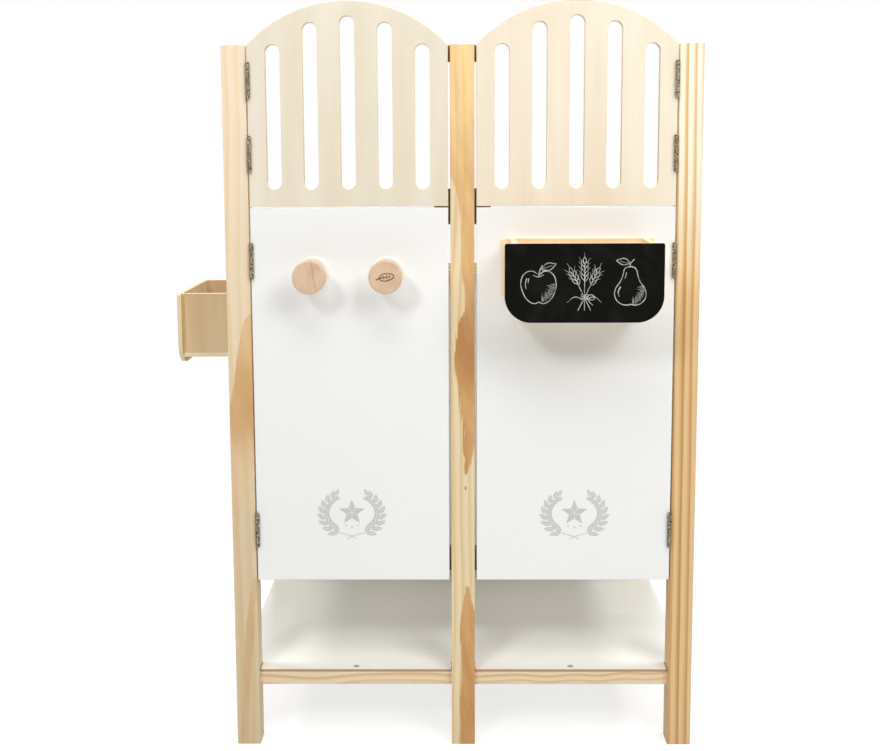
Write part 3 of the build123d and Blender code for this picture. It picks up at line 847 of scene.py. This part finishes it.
def draw_hatching(curve, centre, reach, depth, start, end, count):
    """Short bowed strokes from a fruit's edge inwards, from one angle to another."""
    slant = 0.8
    bow_x, bow_y = 0.4, -0.5
    for index in range(count):
        angle = math.radians(start + (end - start) * index / (count - 1))
        edge = reach[index % len(reach)]
        outer = turned((edge, 0), angle, centre)
        inner = turned((edge - depth[index % len(depth)], slant), angle, centre)
        middle = ((outer[0] + inner[0]) / 2 + bow_x, (outer[1] + inner[1]) / 2 + bow_y)
        add_line(curve, [outer, middle, inner], (0.7, 0.55, 0.2))


def add_strokes(curve, centre, strokes):
    """Lines that are each given as their points and widths about a centre."""
    for points, widths in strokes:
        add_line(curve, moved(points, centre), widths)


def draw_apple(curve, centre):
    edge = [
        (-2, 17), (-9, 21), (-19, 18), (-24.5, 7), (-22, -8), (-13.5, -21), (-4.5, -24), (0, -22),
        (5, -24), (14, -20.5), (22, -8), (23.5, 7), (18, 18), (8.5, 21), (1, 16.5),
    ]
    add_strokes(curve, centre, [
        (edge, (0.8, 1.1, 0.9, 1.0, 1.2)),
        # Hollow and stalk
        ([(-8, 15.5), (-1, 13), (7, 16)], (0.6, 0.8, 0.5)),
        ([(0, 14), (1, 21), (5, 29)], (1.3, 0.9, 1.2)),
        # Leaf
        ([(3.5, 23), (11, 31.5), (24, 31)], (0.8, 0.7)),
        ([(3.5, 23), (15, 22.5), (24, 31)], (0.9, 0.8)),
        ([(6, 24), (12, 26.5), (19, 29)], (0.5, 0.3)),
        # Shine
        ([(-16.5, 11), (-18.5, 4), (-17.5, -4)], (1.4, 1.0, 0.4)),
        ([(-13.5, 11), (-14.5, 7.5), (-14.5, 4)], (0.8, 0.3)),
    ])
    draw_hatching(
        curve, centre, reach=(22, 21.5, 22.3), depth=(8, 11, 6.5, 9), start=-78, end=8, count=15,
    )


def draw_pear(curve, centre):
    edge = [
        (-1, 25), (-7.5, 22.5), (-10.5, 13), (-14, 4), (-20.5, -6), (-21, -17), (-14, -26), (-4, -28.5),
        (1, -27.5), (6, -28.5), (15.5, -25.5), (21.5, -16), (19.5, -5), (13, 4.5), (10, 13), (7, 22),
        (0, 25.5),
    ]
    belly = (centre[0], centre[1] - 9)
    add_strokes(curve, centre, [
        (edge, (0.9, 1.0, 1.2, 0.9, 1.1)),
        # Stalk
        ([(-1, 23.5), (0, 29.5), (5, 35)], (1.3, 0.9, 1.2)),
        # Leaf
        ([(0, 29.5), (-8, 36), (-20, 33.5)], (0.8, 0.7)),
        ([(0, 29.5), (-11, 27.5), (-20, 33.5)], (0.9, 0.8)),
        ([(-3, 30), (-9.5, 31), (-15, 32.5)], (0.5, 0.3)),
        # Shine
        ([(-13.5, -3), (-16.5, -10), (-15, -17)], (1.4, 1.0, 0.4)),
        ([(-5.5, 17), (-6.5, 12), (-8, 8)], (0.8, 0.3)),
    ])
    draw_hatching(
        curve, belly, reach=(19, 18.5, 19.4), depth=(7.5, 10, 6, 8.5), start=-80, end=25, count=16,
    )


GRAIN_STEP = 6.2


def draw_grain(curve, base, angle, size, bend):
    """One grain of oats and its awn, whose end bends to one side."""

    def line(points, widths, closed=False):
        shares = [(x * size, y * size) for x, y in points]
        add_line(curve, [turned(point, angle, base) for point in shares], widths, closed)

    line([(0, 0), (0.45, 0.24), (1, 0), (0.5, -0.22)], (0.8, 0.6), closed=True)
    line([(1, 0), (1.45, 0.05), (1.9, bend)], (0.5, 0.35, 0.15))


def draw_ear(curve, foot, angle, pairs):
    """An ear of oats: pairs of grains with their awns along a stalk, and one grain at the tip."""
    lean, bend = math.radians(30), 0.06
    size, tip_size = 8.2, 8.6
    for pair in range(pairs):
        for side in (-1, 1):
            base = turned((pair * GRAIN_STEP + side + 1, 0), angle, foot)
            draw_grain(curve, base, angle + side * lean, size, side * bend)
    tip = turned((pairs * GRAIN_STEP - 1, 0), angle, foot)
    draw_grain(curve, tip, angle, tip_size, bend)


def draw_oats(curve, centre):
    """Three ears of oats whose stalks cross under a tied band, with a blade on each side."""
    tie = -17
    lean = 27
    tie_place = (centre[0], centre[1] + tie)
    # The side an ear leans to, the foot of its grains and its pairs of grains
    for side, foot, pairs in ((-1, (-8.5, -2), 3), (0, (0, 3), 4), (1, (8.5, -2), 3)):
        stalk = [(-side * 9, -38), (side * 1.5, tie), foot]
        add_line(curve, moved(stalk, centre), (0.9, 0.7, 0.8))
        angle = math.radians(90 - side * lean)
        ear_foot = (centre[0] + foot[0], centre[1] + foot[1])
        tip = turned((pairs * GRAIN_STEP, 0), angle, ear_foot)
        add_line(curve, [ear_foot, tip], (0.7, 0.5))
        draw_ear(curve, ear_foot, angle, pairs)
    for drop in (0.0, 2.6, 5.0):
        half = 5.4 - drop * 0.2
        band = [(-half, 1.6 - drop), (0, 0.4 - drop), (half, 1.6 - drop)]
        add_line(curve, moved(band, tie_place), (0.9, 0.7))
    loop = [(3, -2), (10, 1), (14, -4), (9, -6), (3, -2)]
    loose_end = [(3, -2), (7, -9), (12, -14)]
    add_strokes(curve, tie_place, [(loop, (0.8, 0.6)), (loose_end, (0.8, 0.4))])
    for side in (-1, 1):
        blade = [(side * 2.5, -6), (side * 13, -2), (side * 24, -10)]
        add_line(curve, moved(blade, tie_place), (0.9, 0.8, 0.3))


def chalk_drawing(name, centre, chalk):
    """An apple, a tied bunch of oats and a pear."""
    lines = new_drawing(flat=False)
    lines.data.bevel_depth = 0.62
    draw_apple(lines.data, (-63, -4))
    draw_oats(lines.data, (0, 0))
    draw_pear(lines.data, (63, -2))
    return stand_on_board(name, [lines], thickness=0.18, place=centre, finish=chalk)


def burned_leaf(name, centre, scorch):
    """The outline of a leaf with its veins, burned into a peg's head."""
    lines = new_drawing(flat=False)
    lines.data.bevel_depth = 0.75
    tilt = math.radians(9)

    def line(points, widths, closed=False):
        add_line(lines.data, [turned(point, tilt, (0, 0)) for point in points], widths, closed)

    rim = [(-8.5, 0), (-4, 4.6), (3, 4.8), (12, 0), (3, -4.8), (-4, -4.6)]
    midrib = [(-14, -1.6), (-8.5, 0), (0, 0.3), (8, 0)]
    line(rim, (1.0, 1.2), closed=True)
    line(midrib, (1.3, 1.0, 0.8))
    for foot, length in ((-4, 3.2), (0.5, 3.6), (5, 2.4)):
        for side in (-1, 1):
            line([(foot, 0), (foot + length * 0.7, side * length)], (0.7, 0.5))
    return stand_on_board(name, [lines], thickness=0.16, place=centre, finish=scorch)


def scorched_beech():
    recipe = Recipe("scorched_beech")
    place = recipe.place()
    char = recipe.noise(place, scale=1.3, detail=4.0, roughness=0.6)
    return recipe.finish(
        base_color=recipe.mix(recipe.rise(char, 0.35, 0.65), linear("6E3D17"), linear("9A5F29")),
        roughness=0.6 + char * 0.15,
        normal=recipe.bump(char, 0.08 * MM, 0.5),
    )


def printing_ink():
    recipe = Recipe("grey_printing_ink")
    place = recipe.place()
    speckle = recipe.noise(place, scale=1.1, detail=4.0, roughness=0.65)
    cover = recipe.noise(place, scale=0.09, detail=2.0)
    colour = recipe.mix(recipe.rise(speckle, 0.56, 0.74) * 0.35, linear("C9CBC8"), linear("EDEDEB"))
    return recipe.finish(
        base_color=recipe.tint(colour, 0.97 + cover * 0.06),
        roughness=0.5 + speckle * 0.12,
        normal=recipe.bump(speckle, 0.04 * MM, 0.3),
    )


def chalk_dust():
    """Chalk that skips over the board's grain, which leaves its lines thin in places."""
    recipe = Recipe("chalk")
    place = recipe.place()
    grit = recipe.noise(place, scale=1.5, detail=4.0, roughness=0.75)
    pressure = recipe.noise(place, scale=0.12, detail=2.0)
    cover = recipe.rise(grit + (pressure - 0.5) * 0.5, 0.36, 0.56)
    return recipe.finish(
        base_color=recipe.mix(grit, linear("E6E6E2"), linear("C4C4C0")),
        roughness=0.85 + grit * 0.1,
        alpha=0.2 + cover * 0.75,
        normal=recipe.bump(grit, 0.1 * MM, 0.5),
    )


def front_middle(node):
    """The middle of a node's front face."""
    low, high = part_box(node)
    return (low.x + high.x) / 2, low.y, (low.z + high.z) / 2


def add_artwork():
    ink = printing_ink()
    print_outwards = 1.5
    print_heights = {"left": 361, "right": 360}
    for side, height in print_heights.items():
        x, y, _ = front_middle(f"lower_{side}_door_panel")
        place = (x + print_outwards * MM * SIDES[side], y, height * MM)
        piece = door_print(f"door_print_{side}", place, ink)
        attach(piece, f"lower_{side}_door")
    head = front_middle("bridle_peg_right")
    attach(burned_leaf("burned_leaf", head, scorched_beech()), "lower_left_door")
    centre = front_middle("door_box_front")
    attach(chalk_drawing("chalk_drawing", centre, chalk_dust()), "lower_right_door")


add_artwork()


# Floor, light and camera


def seen_directly(recipe):
    """1 for the camera's own rays and for mirror and glass rays, 0 for the light that bounces."""
    kinds = ("Is Camera Ray", "Is Glossy Ray", "Is Transmission Ray")
    camera, glossy, glass = (recipe.node("ShaderNodeLightPath", output=kind) for kind in kinds)
    return camera.larger(glossy).larger(glass)


def floor_finish():
    """Pale floor that keeps the object's shadow and turns white to the camera further away."""
    shadow_floor, white_floor = 500, 1400
    recipe = Recipe("studio_floor")
    tree = recipe.tree
    for_light = recipe.node("ShaderNodeBsdfDiffuse", {}, {"Color": linear("DFDFDD")})
    for_view = recipe.node("ShaderNodeBsdfDiffuse", {}, {"Color": linear("ABABA9")})
    glow = recipe.node("ShaderNodeEmission", {}, {"Color": WHITE, "Strength": 0.7})
    near = recipe.node("ShaderNodeAddShader", {}, {0: for_view, 1: glow})
    far = recipe.node("ShaderNodeEmission", {}, {"Color": WHITE, "Strength": 1.0})
    x, y, _ = recipe.split(recipe.place())
    away = recipe.rise((x * x + y * y) ** 0.5, shadow_floor, white_floor)
    seen = recipe.node("ShaderNodeMixShader", {}, {0: away, 1: near, 2: far})
    both = recipe.node("ShaderNodeMixShader", {}, {0: seen_directly(recipe), 1: for_light, 2: seen})
    tree.links.new(both.socket, tree.nodes["Material Output"].inputs["Surface"])
    return recipe.material


class SkyRecipe(Recipe):
    """The world's own nodes."""

    def __init__(self, world):
        self.tree = world.node_tree


def white_surround(ambient):
    """A surround that looks white and lights the object only a little."""
    world = bpy.data.worlds.new("studio")
    world.use_nodes = True
    bpy.context.scene.world = world
    recipe = SkyRecipe(world)
    light = recipe.node("ShaderNodeBackground", {}, {"Color": WHITE, "Strength": ambient})
    view = recipe.node("ShaderNodeBackground", {}, {"Color": WHITE, "Strength": 1.0})
    both = recipe.node("ShaderNodeMixShader", {}, {0: seen_directly(recipe), 1: light, 2: view})
    recipe.tree.links.new(both.socket, recipe.tree.nodes["World Output"].inputs["Surface"])


def studio_floor():
    floor_width = 60
    bpy.ops.object.select_all(action="DESELECT")
    bpy.ops.mesh.primitive_plane_add(size=floor_width, location=(0, 0, 0))
    floor = bpy.context.object
    floor.name = "studio_floor"
    floor.data.materials.append(floor_finish())


def soft_box(name, place, target, size, watts):
    """A large area light at one place that points at another; its size is its width and height."""
    lamp = bpy.data.lights.new(name, "AREA")
    lamp.shape = "RECTANGLE"
    lamp.size, lamp.size_y = size
    lamp.energy = watts
    holder = bpy.data.objects.new(name, lamp)
    holder.location = place
    direction = Vector(target) - Vector(place)
    holder.rotation_euler = direction.to_track_quat("-Z", "Y").to_euler()
    bpy.context.scene.collection.objects.link(holder)


def light_the_studio():
    middle = (0.0, 0.1, 0.75)
    lower_doors = (0.0, 0.0, 0.6)
    floor_board = (0.0, 0.2, 0.1)
    soft_box("key_left", (-1.5, -2.8, 2.7), middle, size=(0.7, 0.7), watts=37)
    soft_box("high_right", (1.4, -1.9, 2.3), middle, size=(1.2, 1.2), watts=35.5)
    soft_box("top", (0.0, -1.4, 3.1), lower_doors, size=(1.6, 1.0), watts=26)
    soft_box("overhead", (0.0, 0.5, 3.2), floor_board, size=(1.6, 1.0), watts=11)
    soft_box("fill_back", (0.0, 2.8, 1.9), middle, size=(1.6, 1.2), watts=34)
    side_watts = {"left": 53, "right": 58}
    for side, sign in SIDES.items():
        low_place = (sign * 2.4, 0.3, 0.7)
        high_place = (sign * 2.9, 0.35, 3.4)
        soft_box(f"low_{side}", low_place, floor_board, size=(1.2, 0.8), watts=6)
        soft_box(f"side_{side}", high_place, floor_board, size=(1.2, 0.9), watts=side_watts[side])


def set_camera():
    """A camera in front of the doors, above their middle, that looks down a little.

    Its distance is taken from the front of the middle post.
    """
    distance = 1.75
    height = 0.905
    aside = -0.0134
    pitch = 6.835
    yaw = -0.609
    roll = 0.241
    data = bpy.data.cameras.new("camera")
    data.lens = 49.439
    data.sensor_width = 36.0
    data.shift_y = -0.095
    camera = bpy.data.objects.new("camera", data)
    camera.location = (aside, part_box("front_post_middle")[0].y - distance, height)
    camera.rotation_euler = (math.radians(90 - pitch), math.radians(roll), math.radians(-yaw))
    bpy.context.scene.collection.objects.link(camera)
    bpy.context.scene.camera = camera


studio_floor()
white_surround(ambient=0.04)
light_the_studio()
set_camera()
bpy.context.scene.view_settings.view_transform = "Standard"
